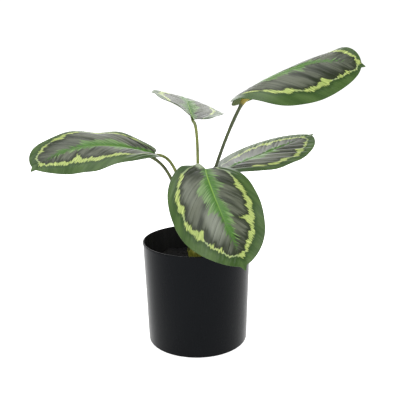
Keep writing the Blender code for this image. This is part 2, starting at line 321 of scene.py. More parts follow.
look = Look("potting_soil", Specular_IOR_Level=0.25)
grains = look.noise(look.place(), GRAINS, 4.0, 0.7)
patches = look.noise(look.place(), PATCHES, 3.0)
earth = look.mix(look.level(patches), *EARTH)
earth = look.finish(
    look.mix(look.step(grains, 0.58, 0.72), earth, PALE_GRAIN),
    look.level(grains, 0.95, 0.75),
    grains,
    0.0006,
)

# The top, then down along the wall and along the crown's hole, and across to close it below
soil = sheet(*SOIL_GRID, soil_surface)
bpy.ops.object.mode_set(mode="EDIT")
for ratio, wanted in (
    (SOIL_FOOT / SOIL_EDGE, lambda co: co.xy.length > SOIL_EDGE - NEAR),
    (1, lambda co: co.xy.length < SOIL_HOLE + NEAR),
):
    pick(soil, "EDGE", wanted)
    extrude(SOIL_BOTTOM - SOIL_TOP)
    bpy.ops.transform.resize(value=(ratio, ratio, 0), center_override=(0, 0, SOIL_BOTTOM))
pick(soil, "EDGE", lambda co: abs(co.z - SOIL_BOTTOM) < NEAR)
bpy.ops.mesh.bridge_edge_loops()
bpy.ops.mesh.select_all(action="SELECT")
bpy.ops.mesh.normals_make_consistent(inside=False)
bpy.ops.object.mode_set(mode="OBJECT")

bpy.ops.object.select_all(action="DESELECT")
bpy.ops.mesh.primitive_ico_sphere_add(subdivisions=1, radius=1)
crumb = bpy.context.object
for vertex in crumb.data.vertices:
    vertex.co *= 1 + CRUMB_DENTS[0] * noise.noise(vertex.co * CRUMB_DENTS[1])
scatter = np.random.default_rng(CRUMB_SEED)
# Bearing, distance from the axis and tilt
least = (0, SOIL_HOLE + CRUMB_ROOM["hole"], 0)
most = (2 * math.pi, SOIL_EDGE - CRUMB_ROOM["wall"], math.pi)
crumbs = []
for number in range(CRUMBS):
    turn, out, tilt = scatter.uniform(least, most)
    size = CRUMB_SIZES[0] + (CRUMB_SIZES[1] - CRUMB_SIZES[0]) * scatter.uniform() ** 2
    x, y = out * math.cos(turn), out * math.sin(turn)
    copy = bpy.data.objects.new(f"crumb_{number}", crumb.data.copy())
    copy.location = (x, y, SOIL_TOP + soil_height(x, y) + size * CRUMB_RISE)
    copy.rotation_euler = (tilt, turn, tilt)
    copy.scale = [size * ratio for ratio in CRUMB_SHAPE]
    bpy.context.scene.collection.objects.link(copy)
    crumbs.append(copy)
only(crumb)
bpy.ops.object.delete()
only(soil)
for copy in crumbs:
    copy.select_set(True)
bpy.ops.object.join()
soil.data.shade_smooth()
soil.data.materials.append(earth)
finish_piece(soil, "soil_fill", "soil", "soil")

# The crown: the yellow-olive fibrous stub where the plant leaves the soil, moulded in one piece. A
# thin ribbed sheath rises from it round the foot of each stem, with a slanting mouth.
CROWN_GRID = (104, 48)
# Radius and height of its outline, from the top down
CROWN_PROFILE = (
    (0.0, 0.1050), (0.0040, 0.1042), (0.0060, 0.1010), (0.0064, 0.0940), (0.0086, 0.0860),
    (0.0088, 0.0580), (0.0, 0.0580),
)
# Depth of its two sets of ribs, how many go round and how they twist with the height
CROWN_RIBS = ((0.03, 26, 40), (0.02, 11, -90))
SHEATH_GRID = (48, 26)
FOOT_CIRCLE = 0.0046
FOOT_HEIGHT = 0.0800
FOOT_LENGTH = 0.0320
SHEATH_LENGTH = 0.0300
SHEATH_ROOT = 0.004
SHEATH_SLANT = 0.007
SHEATH_FOOT_RADIUS = 0.0030
SHEATH_TOP_RADIUS = 0.0023
SHEATH_TAPER = 0.8
# How much wider its mouth is, and how steeply it widens there
SHEATH_FLARE = (0.10, 12)
SHEATH_WALL = 0.00035
SHEATH_RIBS = 9
SHEATH_RIB_DEPTH = 0.035
STRANDS = (900.0, 900.0, 60.0)
FIBRE = ((0.085, 0.092, 0.008), (0.260, 0.260, 0.030))
BURIED_FIBRE = (0.03, 0.025, 0.008)
CLEAN_FROM = (0.088, 0.094)
# Where round the crown each stem stands, and its heading and climb there, in degrees
STEM_FEET = {
    "front": (-80, (-80, 80)),
    "left": (160, (108, 72)),
    "left_second": (220, (162, 80)),
    "top": (40, (11, 88)),
    "right": (-20, (35, 78)),
    "back": (100, (82, 78)),
}


def direction(heading, climb):
    """Unit vectors at these angles in degrees: heading from +X about +Z, climb from level."""
    turn, rise = np.radians(heading), np.radians(climb)
    x, y, z = np.cos(rise) * np.cos(turn), np.cos(rise) * np.sin(turn), np.sin(rise)
    return np.stack([x, y, z], axis=-1)


def foot_point(bearing):
    return FOOT_CIRCLE * direction(bearing, 0) + (0, 0, FOOT_HEIGHT)


def crown_surface(u, v):
    knots = range(len(CROWN_PROFILE))
    place = v * knots[-1]
    radius, height = (np.interp(place, knots, column) for column in zip(*CROWN_PROFILE))
    turn = 2 * math.pi * u
    ribs = sum(deep * np.cos(count * turn + twist * height) for deep, count, twist in CROWN_RIBS)
    radius = radius * (1 + ribs)
    return np.stack([radius * np.cos(turn), radius * np.sin(turn), height], axis=1)


def sheath_surface(bearing, lean):
    """The shape of one sheath: a ribbed tube along its stem, cut at a slant."""
    axis = direction(*lean)
    across = np.cross(axis, direction(bearing, 0))
    across /= np.linalg.norm(across)
    outward = np.cross(across, axis)

    def surface(u, v):
        turn = 2 * math.pi * u
        cut = SHEATH_SLANT * (1 + np.cos(turn)) / 2
        length = -SHEATH_ROOT + v * (SHEATH_LENGTH + SHEATH_ROOT - cut)
        narrowing = (SHEATH_TOP_RADIUS - SHEATH_FOOT_RADIUS) * v**SHEATH_TAPER
        radius = SHEATH_FOOT_RADIUS + narrowing
        ribs = SHEATH_RIB_DEPTH * np.cos(SHEATH_RIBS * turn)
        radius = radius * (1 + ribs + SHEATH_FLARE[0] * v ** SHEATH_FLARE[1])
        around = np.cos(turn)[:, None] * outward + np.sin(turn)[:, None] * across
        return foot_point(bearing) + length[:, None] * axis + radius[:, None] * around

    return surface


look = Look("crown_fibre", 0.5, Specular_IOR_Level=0.35)
strands = look.noise(look.stretch(look.place(), STRANDS), 1.0, 3.0)
fibre = look.mix(look.level(strands), *FIBRE)
fibre = look.mix(look.step(look.height(), *CLEAN_FROM), BURIED_FIBRE, fibre)
fibre = look.finish(fibre, look.level(strands, 0.42, 0.6), strands, 0.0004)

sheaths = [sheet(*SHEATH_GRID, sheath_surface(*foot)) for foot in STEM_FEET.values()]
for sheath in sheaths:
    wall = sheath.modifiers.new("Wall", "SOLIDIFY")
    wall.thickness = SHEATH_WALL
    wall.offset = -1
    only(sheath)
    bpy.ops.object.modifier_apply(modifier=wall.name)
crown = sheet(*CROWN_GRID, crown_surface)
for sheath in sheaths:
    sheath.select_set(True)
bpy.context.view_layer.objects.active = crown
bpy.ops.object.join()
crown.data.materials.append(fibre)
finish_piece(crown, "crown_stub", "crown", "crown")

# The stems: thin round petioles of coated wire, which stand in the sheaths. Each swells at a joint
# under its leaf and runs on along the underside as the midrib.
BLADE_THICKNESS = 0.0008
STEM_RADIUS = 0.0018
JOINT_LENGTH = 0.015
JOINT_COLOUR_SHIFT = 0.001
JOINT_TAPER = 0.2
RIB_START_RADIUS = 0.0013
RIB_END_RADIUS = 0.0005
RIB_END = 0.74
# Room between a blade and its rib: a gap, and a part of the rib's radius for the blade's bend
RIB_GAP = 0.0003
BEND_ROOM = 0.1
LOBE_REACH = 0.20
LOBE_SPREAD = 0.024
BASE_OPENING = 0.004
TIP_START = 0.968
TIP_HALF_WIDTH = 0.0040
TIP_REACH = 0.05
TIP_BLEND = 3
ROUNDNESS = 2.2
SPINE_STEPS = 60
# How many points the stem's line has inside its sheath, in its bend and along the midrib
STEM_POINTS = {"sheath": 12, "bend": 90, "rib": 60}
JOINT_SWELL = 1.6
JOINT_COLOUR_FROM = (0.12, 0.45)
STREAKS = (700.0, 700.0, 45.0)
STAINS = 110.0


def at(values, u):
    """The parabola through three values that stand at u = 0, 0.5 and 1."""
    first, middle, last = values
    return first * (1 - u) * (1 - 2 * u) + middle * 4 * u * (1 - u) + last * u * (2 * u - 1)


class Blade:
    """A leaf blade: a sheet that bends along its midrib and folds and curls on both sides of it.

    Angles are in degrees, and a triple holds the values at the base, the middle and the tip. Left
    and right are those of someone who looks along the midrib from its base, and each has a fold, a
    curl and a wave's height and phase.
    """

    def __init__(
        self, base, length, half_width, widest, bluntness,
        heading, climb, roll, lobe_depth, waves, left, right,
    ):
        self.length, self.half_width = length, half_width
        self.widest, self.bluntness = widest, bluntness
        self.heading, self.climb, self.roll = heading, climb, roll
        self.lobe_depth, self.waves, self.left, self.right = lobe_depth, waves, left, right
        steps = self.tangent((np.arange(SPINE_STEPS) + 0.5) / SPINE_STEPS) * length / SPINE_STEPS
        self.spine = np.array(base) + np.concatenate([np.zeros((1, 3)), np.cumsum(steps, axis=0)])

    def tangent(self, u):
        return direction(at(self.heading, u), at(self.climb, u))

    def spine_point(self, u):
        """Points of the midrib. Below 0 it runs on straight, for the lobes."""
        knots = np.arange(SPINE_STEPS + 1) / SPINE_STEPS
        on_spine = np.stack([np.interp(u, knots, column) for column in self.spine.T], axis=-1)
        return on_spine + self.tangent(0.0) * (np.minimum(u, 0) * self.length)[..., None]

    def width_at(self, along):
        """Half of the blade's width, measured over its surface."""
        near = np.clip((self.widest - along) / (self.widest + BASE_OPENING), 0, 1)
        far = np.clip((along - self.widest) / (TIP_START - self.widest), 0, 1)
        width = (1 - near**ROUNDNESS) ** (1 / ROUNDNESS) * (1 - far**ROUNDNESS) ** self.bluntness
        nib = TIP_HALF_WIDTH * np.minimum((1 - along) / TIP_REACH, 1) + BLADE_THICKNESS / 2
        return ((width * self.half_width) ** TIP_BLEND + nib**TIP_BLEND) ** (1 / TIP_BLEND)

    def point(self, along, across, below=0.0):
        """Points of the sheet: along runs 0 to 1 from base to tip, across -1 to 1 left to right."""
        along, across = np.asarray(along, float), np.asarray(across, float)
        width = self.width_at(along)
        out = np.abs(across) * width
        # Near the base, the lobes reach back beside the stem
        spread = np.minimum(out / LOBE_SPREAD, 1)
        lobe = self.lobe_depth * np.maximum(0, 1 - along / LOBE_REACH) ** 2
        u = along - lobe * spread**2 * (3 - 2 * spread) / self.length
        v = np.maximum(u, 0)
        # The sheet's own directions: forward along the midrib, to its right side, and up
        forward = self.tangent(v)
        level = np.cross(forward, (0, 0, 1))
        level /= np.linalg.norm(level, axis=-1, keepdims=True)
        upright = np.cross(level, forward)
        roll = np.radians(at(self.roll, v))[..., None]
        side = level * np.cos(roll) - upright * np.sin(roll)
        up = upright * np.cos(roll) + level * np.sin(roll)
        # Each half folds at the midrib, curls on from there and waves towards its edge
        folds = [[at(values, v) for values in half[:2]] for half in (self.right, self.left)]
        fold, curl = (np.where(across >= 0, a, b) for a, b in zip(*folds))
        waves = zip(self.right[2:], self.left[2:])
        size, phase = (np.where(across >= 0, a, b) for a, b in waves)
        half_turn = np.radians(curl) * out / self.half_width / 2
        slope = np.radians(fold) + half_turn
        chord = out * np.sinc(half_turn / math.pi)
        wave = size * np.sin(2 * math.pi * self.waves * along + phase)
        wave = wave * (out / self.half_width) ** 2 * width / self.half_width
        drop = chord * np.sin(slope) - wave + below
        over = np.copysign(chord * np.cos(slope), across)
        return self.spine_point(u) + side * over[..., None] - up * drop[..., None]


BLADES = {
    "front": Blade(
        base=(0.0104, -0.0382, 0.2019), length=0.1392, half_width=0.0458,
        widest=0.45, bluntness=0.65, heading=(-89, -72, -60), climb=(-4, -32, -47),
        roll=(5, 12, 5), lobe_depth=0.0144, waves=3.0,
        left=((3, 7, 3), (-3, 25, 8), -0.0011, 2.1),
        right=((-14, -2, 9), (2, 36, 0), -0.0003, 0.3),
    ),
    "left": Blade(
        base=(-0.0451, 0.0241, 0.2083), length=0.1433, half_width=0.0458,
        widest=0.45, bluntness=0.61, heading=(196, 199, 223), climb=(19, -1, -38),
        roll=(-8, -13, -24), lobe_depth=0.0080, waves=2.8,
        left=((-8, -2, 3), (3, 27, 31), -0.0011, -1.0),
        right=((-8, -16, -6), (2, 30, 23), -0.002, 0.5),
    ),
    "top": Blade(
        base=(0.0433, -0.0080, 0.2724), length=0.1374, half_width=0.0460,
        widest=0.45, bluntness=0.54, heading=(2, -17, 7), climb=(34, 15, -18),
        roll=(-5, 27, 43), lobe_depth=0.0164, waves=2.5,
        left=((13, 7, -13), (30, 67, 24), 0.0025, -1.0),
        right=((-5, 5, 4), (38, 49, 22), -0.0003, 2.5),
    ),
    "right": Blade(
        base=(0.0355, 0.0319, 0.1883), length=0.1460, half_width=0.0461,
        widest=0.41, bluntness=0.59, heading=(45, 37, 25), climb=(11, 10, 17),
        roll=(-6, 1, 6), lobe_depth=0.0132, waves=2.8,
        left=((2, 3, 0), (5, -3, -2), 0.0, 0.0),
        right=((-8, -2, 1), (48, 18, 17), 0.0006, 0.4),
    ),
    "back": Blade(
        base=(-0.0013, 0.0482, 0.2440), length=0.1474, half_width=0.0453,
        widest=0.44, bluntness=0.62, heading=(97, 96, 84), climb=(7, 10, -39),
        roll=(23, 21, 24), lobe_depth=0.0139, waves=2.8,
        left=((-25, 3, 8), (18, 4, 4), 0.0015, 1.8),
        right=((-28, -7, -4), (-5, 12, 16), -0.0005, 0.9),
    ),
}


def below_surface(radius):
    """How far under a blade's middle surface a rod of this radius runs clear of it."""
    return BLADE_THICKNESS / 2 + RIB_GAP + radius * (1 + BEND_ROOM)


def stem_path(
    name, blade, rise, reach, arrival, joint_along=0.05, joint_across=0.0, joint_radius=0.0022
):
    """The stem's middle line, its radius at each point and the middle of its joint's colour.

    rise and reach are how far its bend runs on from the sheath and back from the joint, and arrival
    is its heading and climb at the joint, whose place on the blade is given along and across it.
    """
    bearing, lean = STEM_FEET[name]
    foot = foot_point(bearing)
    leaving = foot + direction(*lean) * FOOT_LENGTH
    joint = blade.point(joint_along, joint_across, below_surface(joint_radius))
    knots = (leaving, leaving + direction(*lean) * rise, joint - direction(*arrival) * reach, joint)
    bend = np.array(interpolate_bezier(*(Vector(knot) for knot in knots), STEM_POINTS["bend"]))
    part = np.linspace(0, 1, STEM_POINTS["sheath"], endpoint=False)
    points = np.concatenate([foot + (leaving - foot) * part[:, None], bend])
    near = np.maximum(0, 1 - np.linalg.norm(points - joint, axis=1) / JOINT_LENGTH)
    radii = STEM_RADIUS + (joint_radius - STEM_RADIUS) * near**JOINT_SWELL
    if joint_across == 0:
        part = np.linspace(0, 1, STEM_POINTS["rib"] + 1)[1:]
        # The first fifth narrows from the joint to the rib
        rib = RIB_START_RADIUS + (RIB_END_RADIUS - RIB_START_RADIUS) * part
        taper = joint_radius + (rib - joint_radius) * part / JOINT_TAPER
        rib = np.where(part < JOINT_TAPER, taper, rib)
        along = joint_along + (RIB_END - joint_along) * part
        under = blade.point(along, part * 0, below_surface(rib))
        points, radii = np.concatenate([points, under]), np.concatenate([radii, rib])
    return points, radii, joint + JOINT_COLOUR_SHIFT * blade.tangent(joint_along)


def add_attribute(thing, name, values, kind="FLOAT"):
    """Gives each point of a mesh a number, or a vector, for its material to read."""
    made = thing.data.attributes.new(name, kind, "POINT")
    entry = "value" if kind == "FLOAT" else "vector"
    made.data.foreach_set(entry, np.ravel(values).astype(np.float32))


def stem_look(name, dull, paler, joint):
    """A smooth skin, streaked and stained between two colours, with its joint in a third."""
    look = Look(name, Specular_IOR_Level=0.4)
    streaks = look.noise(look.stretch(look.place(), STREAKS), 1.0, 3.0)
    stains = look.noise(look.place(), STAINS, 2.0)
    skin = look.mix(look.level(streaks), dull, paler)
    skin = look.mix(look.step(stains, 0.55, 0.75), skin, dull)
    skin = look.mix(look.step(look.attribute("joint"), *JOINT_COLOUR_FROM), skin, joint)
    return look.finish(skin, look.level(streaks, 0.38, 0.55), streaks, 0.0002)


def make_stem(name, skin, *way):
    """One stem, as a tube of changing radius along its path."""
    points, radii, joint = stem_path(name, *way)
    curve = bpy.data.curves.new(name, "CURVE")
    curve.dimensions = "3D"
    curve.bevel_depth = STEM_RADIUS
    curve.bevel_resolution = 5
    curve.use_fill_caps = True
    spline = curve.splines.new("POLY")
    spline.points.add(len(points) - 1)
    for knot, point, radius in zip(spline.points, points, radii):
        knot.co = (*point, 1)
        knot.radius = radius / STEM_RADIUS
    stem = bpy.data.objects.new(name, curve)
    bpy.context.scene.collection.objects.link(stem)
    only(stem)
    bpy.ops.object.convert(target="MESH")
    bpy.ops.object.shade_smooth()
    places = np.array([vertex.co for vertex in stem.data.vertices])
    near = 1 - np.linalg.norm(places - joint, axis=1) / JOINT_LENGTH
    add_attribute(stem, "joint", np.maximum(near, 0))
    stem.data.materials.append(skin)
    finish_piece(stem, f"{name}_petiole", "stem", f"stem_{name}")


olive = stem_look(
    "petiole_olive", (0.026, 0.034, 0.008), (0.075, 0.092, 0.020), (0.065, 0.085, 0.022)
)
# A paler copy of the olive skin: painted light on the left and the back stem, which catch the light
paler = stem_look(
    "petiole_painted_light", (0.070, 0.088, 0.018), (0.185, 0.215, 0.048), (0.105, 0.135, 0.035)
)
amber = stem_look(
    "petiole_amber", (0.018, 0.027, 0.007), (0.052, 0.070, 0.016), (0.240, 0.190, 0.016)
)
for name, skin, leaf, *way in (
    ("front", olive, "front", 0.050, 0.020, (-86, 30)),
    ("left", paler, "left", 0.122, 0.014, (218, 27), 0.06),
    ("left_second", olive, "left", 0.077, 0.023, (209, 32), 0.05, -0.28),
    ("top", amber, "top", 0.058, 0.015, (5, 42), 0.075, 0.0, 0.0046),
    ("right", olive, "right", 0.040, 0.020, (45, 45)),
    ("back", paler, "back", 0.047, 0.018, (117, 2), 0.0, 0.0, 0.0017),
):
    make_stem(name, skin, BLADES[leaf], *way)

# The leaves: thin coated sheets with embossed veins, stuck on the stems' ribs. All five carry one
# print: a green feathered midrib on dark olive, a jagged yellow-green ring and a mid-green margin.
LEAF_GRID = (200, 96)
LEAF_THICKNESS = 0.0005
PRINT_LENGTH = 141.5
PRINT_HALF_WIDTH = 46.0
# How far each print stands towards the tip, in millimetres, and its width on the left and right
# half, all at the base, the middle and the tip. Then how much narrower the feather is, in
# millimetres, how deep the veins are embossed and how strong the grey painted sheen on the dark
# middle is
PRINT_FIT = {
    "front": ((0, 0, 0), (1.00, 1.00, 1.00), (1.00, 1.00, 1.00), 0.0, 0.0006, 1.0),
    "left": ((2, 2, 2), (0.95, 0.95, 0.95), (1.02, 1.02, 1.02), 0.0, 0.0008, 0.3),
    "top": ((-9, 1, 7), (1.09, 1.09, 1.09), (0.54, 0.93, 0.80), 2.5, 0.0005, 0.0),
    "right": ((0, 0, 0), (0.97, 0.97, 0.97), (1.04, 1.04, 1.04), 2.5, 0.0012, 0.0),
    "back": ((0, 0, 0), (1.10, 1.10, 1.10), (0.94, 0.94, 0.94), 0.0, 0.0005, 0.4),
}
# The side veins, in the print's millimetres: how they lean towards the tip at the base and how much
# more at the tip, how they bend, and their spacing, with its unevenness and that wave's length
VEIN_LEAN = {"left": (0.45, 0.7), "right": (0.7, 0.8)}
VEIN_BEND = 0.004
VEIN_SPACING = 9.5
VEIN_UNEVEN = (0.25, 0.31)
# By how much of their spacing the right half's veins are staggered
VEIN_STAGGER = 0.4
# How far from the midrib and from the edge the veins reach their full height
VEIN_FADE = (4, 6)
# The part of their height that varies, and how fast it does from vein to vein and along them
VEIN_VARIES = (0.3, 0.9, 0.08)
# The groove over the midrib fades out over the last part before its end
GROOVE_DEPTH = 0.00045
GROOVE_WIDTH = 1.4
GROOVE_END = 0.9
GROOVE_FADE = 0.3
# The pale line of the midrib starts at once and fades out slowly
LINE_START = (-0.05, 0.1)
LINE_END = 0.70
LINE_FADE = 0.45
# The ring is ragged except near the base, over this part of each half, and where it is thin
SMOOTH_START = 0.02
SMOOTH_PART = {"left": 0.22, "right": 0.10}
SMOOTH_LEAST = 0.2
RAGGED_WIDTH = 3.2
RAGGED_LEAST = 0.4
# Painted sheen, grey painted highlights in the dark middle: place along the midrib and out from it
# and size, in millimetres, and strength
PAINTED_SHEENS = ((90, 10, 18, 7, 1.0), (46, 23, 15, 6, 0.4))
# One lobe of the front leaf turns up beside its stem: height in metres, then its place out from the
# midrib, its width and its length in millimetres
BASE_FOLD = (0.0042, 6.2, 5.2, 6.5)
# The print's outlines on its left and right half: the place along the midrib, as a part of its
# length, and millimetres out from it
RING_INSIDE_LEFT = (
    (-0.02, 8), (0.05, 12.5), (0.10, 18.5), (0.13, 22), (0.20, 25), (0.25, 26.5), (0.275, 24),
    (0.285, 21.5), (0.30, 25), (0.35, 27.5), (0.375, 29.5), (0.40, 29), (0.475, 29), (0.50, 27.5),
    (0.58, 27), (0.605, 24), (0.61, 20), (0.62, 16), (0.64, 20), (0.665, 21), (0.68, 22.5),
    (0.70, 22.5), (0.73, 19.5), (0.75, 17.5), (0.78, 16), (0.80, 14), (0.825, 12), (0.85, 8.5),
    (0.87, 7), (0.885, 0),
)
RING_INSIDE_RIGHT = (
    (-0.02, 9), (0.04, 13), (0.07, 17), (0.10, 20), (0.12, 23), (0.17, 25), (0.20, 27.5),
    (0.25, 30.5), (0.275, 29), (0.30, 31), (0.35, 33.5), (0.38, 33), (0.40, 31), (0.44, 31),
    (0.46, 32.5), (0.52, 34), (0.55, 32.5), (0.63, 29), (0.65, 23), (0.66, 21.5), (0.70, 23.5),
    (0.73, 23), (0.76, 21.5), (0.77, 18.5), (0.80, 17.5), (0.815, 12.5), (0.85, 11.5),
    (0.875, 8.5), (0.885, 5.5), (0.888, 0),
)
RING_OUTSIDE_LEFT = (
    (-0.02, 9.5), (0.05, 14.5), (0.10, 20.5), (0.13, 24), (0.20, 27.5), (0.25, 29.5), (0.30, 31.5),
    (0.35, 32.5), (0.375, 33.5), (0.40, 32), (0.425, 34), (0.475, 35), (0.50, 34.5), (0.525, 33),
    (0.62, 32), (0.64, 30), (0.665, 29), (0.68, 27), (0.70, 26.5), (0.73, 25.5), (0.75, 24),
    (0.78, 21.5), (0.80, 19.5), (0.825, 16.5), (0.85, 13), (0.87, 10.5), (0.89, 6), (0.92, 2.5),
    (0.903, 0),
)
RING_OUTSIDE_RIGHT = (
    (-0.02, 10.2), (0.04, 14), (0.07, 18.2), (0.10, 21.8), (0.12, 25.2), (0.14, 27), (0.17, 28.6),
    (0.20, 30.4), (0.25, 32.6), (0.275, 34), (0.30, 36), (0.35, 36.5), (0.42, 37), (0.44, 36),
    (0.46, 34.5), (0.52, 35.5), (0.55, 36), (0.60, 35), (0.63, 33), (0.66, 31), (0.70, 30),
    (0.715, 27), (0.73, 24.2), (0.76, 23.2), (0.77, 22.5), (0.80, 20), (0.815, 17.5), (0.84, 15),
    (0.85, 13), (0.875, 10.8), (0.89, 8.5), (0.902, 0),
)
FEATHER_LEFT = (
    (-0.02, 4), (0.05, 7), (0.15, 9.5), (0.20, 9), (0.25, 12), (0.28, 13.5), (0.30, 12), (0.35, 8),
    (0.40, 5), (0.45, 6.5), (0.50, 9), (0.55, 11), (0.60, 8), (0.65, 7), (0.70, 7), (0.75, 5.5),
    (0.80, 4), (0.84, 1.5), (0.86, 0),
)
FEATHER_RIGHT = (
    (-0.02, 4), (0.05, 5), (0.10, 6), (0.15, 5), (0.20, 6), (0.25, 10), (0.30, 13), (0.36, 15),
    (0.40, 13), (0.45, 11), (0.50, 12), (0.55, 12.5), (0.57, 5), (0.60, 4), (0.65, 3), (0.70, 4.5),
    (0.75, 2.5), (0.80, 1),
)
# Its colours, and in a pair from dark to light
DARK = ((0.012, 0.018, 0.006), (0.094, 0.105, 0.072))
# A painted highlight: the grey sheen painted on the dark middle
DARK_PAINTED_SHEEN = (0.165, 0.182, 0.140)
# Grey streaks, partly print and partly painted highlights on the veins
DARK_STREAK_AND_HIGHLIGHT = (0.145, 0.165, 0.115)
DARK_BY_RING = (0.016, 0.023, 0.008)
# Painted shade in the creases between the embossed veins
PAINTED_CREASE_SHADE = (0.011, 0.016, 0.006)
MARGIN = ((0.026, 0.060, 0.009), (0.056, 0.102, 0.024))
MARGIN_STREAK = (0.095, 0.150, 0.065)
MARGIN_BY_RING = (0.022, 0.052, 0.009)
QUILL = ((0.022, 0.085, 0.006), (0.065, 0.170, 0.018))
BARBS = ((0.034, 0.085, 0.015), (0.165, 0.270, 0.095))
MIDRIB_LINE = (0.170, 0.310, 0.035)
RING = ((0.140, 0.210, 0.042), (0.465, 0.540, 0.170))
RING_AT_BASE = (0.240, 0.310, 0.150)
# The upturned lobe: partly its own paler colour, partly a painted highlight
FOLD_PALE_AND_HIGHLIGHT = (0.230, 0.270, 0.175)
UNDERSIDE = ((0.050, 0.075, 0.020), (0.080, 0.110, 0.038))
UNDERSIDE_PATCH = (0.095, 0.105, 0.048)


def inside(along, out, left, right):
    """Millimetres from each point of the print to a closed outline, positive inside it."""
    corners = [(a * PRINT_LENGTH, -b) for a, b in left]
    corners += [(a * PRINT_LENGTH, b) for a, b in reversed(right)]
    start = np.array(corners)
    way = np.roll(start, -1, axis=0) - start
    points = np.stack([along, out], axis=1)
    nearest = np.full(len(points), 1e9)
    crossings = np.zeros(len(points), int)
    for a, d in zip(start, way):
        part = np.clip((points - a) @ d / (d @ d), 0, 1)
        nearest = np.minimum(nearest, np.linalg.norm(points - a - part[:, None] * d, axis=1))
        over = (points[:, 1] > a[1]) != (points[:, 1] > a[1] + d[1])
        meets = a[0] + (points[:, 1] - a[1]) * d[0] / (d[1] or 1)
        crossings += over & (points[:, 0] < meets)
    return np.where(crossings % 2, nearest, -nearest)


def leaf_looks():
    """The printed face and the plain underside."""
    look = Look("leaf_face", Specular_IOR_Level=0.22, Sheen_Weight=0.03, Sheen_Roughness=0.35)
    # Streaks along the side veins, from wide to fine: scale across them, along them and by half
    strokes = look.attribute("print", "Vector")
    broad = look.noise(look.stretch(strokes, (0.09, 0.03, 5.0)))
    bands = look.noise(look.stretch(strokes, (0.07, 0.02, 5.0), (17, 9, 0)))
    fine = look.noise(look.stretch(strokes, (0.60, 0.05, 5.0), (7, 3, 0)), 1.0, 2.0, 0.6)
    tooth = look.noise(look.stretch(strokes, (0.50, 0.06, 9.0), (3, 11, 0)), 1.0, 2.0, 0.6)
    spike = look.noise(look.stretch(strokes, (0.56, 0.06, 7.0), (31, 5, 0)), 1.0, 2.0, 0.6)
    wisp = look.noise(look.stretch(strokes, (0.50, 0.04, 7.0), (11, 25, 0)), 1.0, 3.0, 0.7)
    grain = look.noise(look.stretch(strokes, (0.90, 0.10, 7.0), (5, 13, 0)), 1.0, 2.0, 0.6)
    out = look.node("ShaderNodeSeparateXYZ", {0: strokes}).outputs[1]
    ragged = look.attribute("ragged")

    # Dark middle: grey patches, a grey painted sheen, grey streaks partly painted as highlights on
    # the veins and painted shade in the creases, darkest beside the ring
    dark = look.mix(look.level(broad, -0.4, 1.4), *DARK)
    # The painted sheen: grey painted highlights on the dark middle, stronger on some leaves
    painted_sheen = look.maths("MULTIPLY", look.attribute("painted_sheen"), look.level(fine, 0.8, 1.0))
    dark = look.mix(painted_sheen, dark, DARK_PAINTED_SHEEN)
    # Grey streaks along the veins, partly print and partly painted highlights on them
    dark = look.mix(look.step(fine, 0.55, 1.10), dark, DARK_STREAK_AND_HIGHLIGHT)
    beside = look.maths("ADD", look.attribute("ring_inside"), look.level(wisp, -3.0, 3.0))
    dark = look.mix(look.step(beside, 5.5, 1.0), dark, DARK_BY_RING)
    # Painted shade in the creases between the embossed veins
    painted_crease_shade = look.step(look.maths("ABSOLUTE", look.attribute("ridge")), 0.22, 0.02)
    painted_crease_shade = look.maths("MULTIPLY", painted_crease_shade, look.step(wisp, 0.42, 0.60))
    dark = look.mix(painted_crease_shade, dark, PAINTED_CREASE_SHADE)

    # Margin, darker beside the ring, and the ragged line where the dark middle and the ring end
    green = look.mix(look.level(bands, -0.1, 1.1), *MARGIN)
    green = look.mix(look.step(fine, 0.50, 1.00), green, MARGIN_STREAK)
    outside = look.maths("ADD", look.attribute("ring_outside"), look.level(wisp, -1.5, 1.5))
    green = look.mix(look.step(outside, -5.0, -0.5), green, MARGIN_BY_RING)
    short_of_outside = look.maths("ADD", look.level(spike, -1.0, 1.2), look.level(tooth, 1.4, -1.9))
    short_of_outside = look.maths("MULTIPLY", short_of_outside, ragged)
    short_of_outside = look.maths("ADD", short_of_outside, look.attribute("ring_outside"))
    colour = look.mix(look.step(short_of_outside, 0.2, -0.6), dark, green)

    # Feather: a green quill along the midrib, with paler barbs, and the midrib's own line on it
    quill = look.mix(look.level(fine), *QUILL)
    barbs = look.mix(look.level(wisp, -0.1, 1.1), *BARBS)
    far_out = look.maths("ADD", out, look.level(wisp, -3.0, 3.0))
    quill = look.mix(look.step(far_out, 3.0, 7.0), quill, barbs)
    feather = look.maths("ADD", look.attribute("feather"), look.level(wisp, -6.0, 3.5))
    colour = look.mix(look.step(feather, -0.8, 1.2), colour, quill)
    line = look.maths("MULTIPLY", look.step(out, 0.9, 0.2), look.attribute("midrib"))
    colour = look.mix(line, colour, MIDRIB_LINE)

    # Ring: short strokes that run into the dark and the margin along the side veins
    past_inside = look.maths("MULTIPLY", look.level(tooth, -2.0, 2.4), ragged)
    past_inside = look.maths("SUBTRACT", past_inside, look.attribute("ring_inside"))
    ring = look.step(look.maths("MINIMUM", past_inside, short_of_outside), -0.3, 0.5)
    bright = look.mix(look.level(grain, -0.1, 1.1), *RING)
    bright = look.mix(look.step(ragged, 0.8, 0.3), bright, RING_AT_BASE)
    colour = look.mix(ring, colour, bright)
    # The lobe that turns up beside the stem is painted pale: partly its own paler colour, partly a
    # painted highlight
    colour = look.mix(look.step(look.attribute("fold"), 0.15, 0.60), colour, FOLD_PALE_AND_HIGHLIGHT)
    face = look.finish(colour, look.level(broad, 0.30, 0.44), fine, 0.00005)

    look = Look("leaf_underside", 0.55, Specular_IOR_Level=0.25)
    strokes = look.attribute("print", "Vector")
    fine = look.noise(look.stretch(strokes, (0.85, 0.08, 5.0)), 1.0, 2.0, 0.6)
    broad = look.noise(look.stretch(strokes, (0.2, 0.05, 5.0)))
    under = look.mix(look.level(fine), *UNDERSIDE)
    under = look.mix(look.level(broad, 0.0, 0.6), under, UNDERSIDE_PATCH)
    return face, look.finish(under, look.level(fine, 0.5, 0.62), fine, 0.00006)


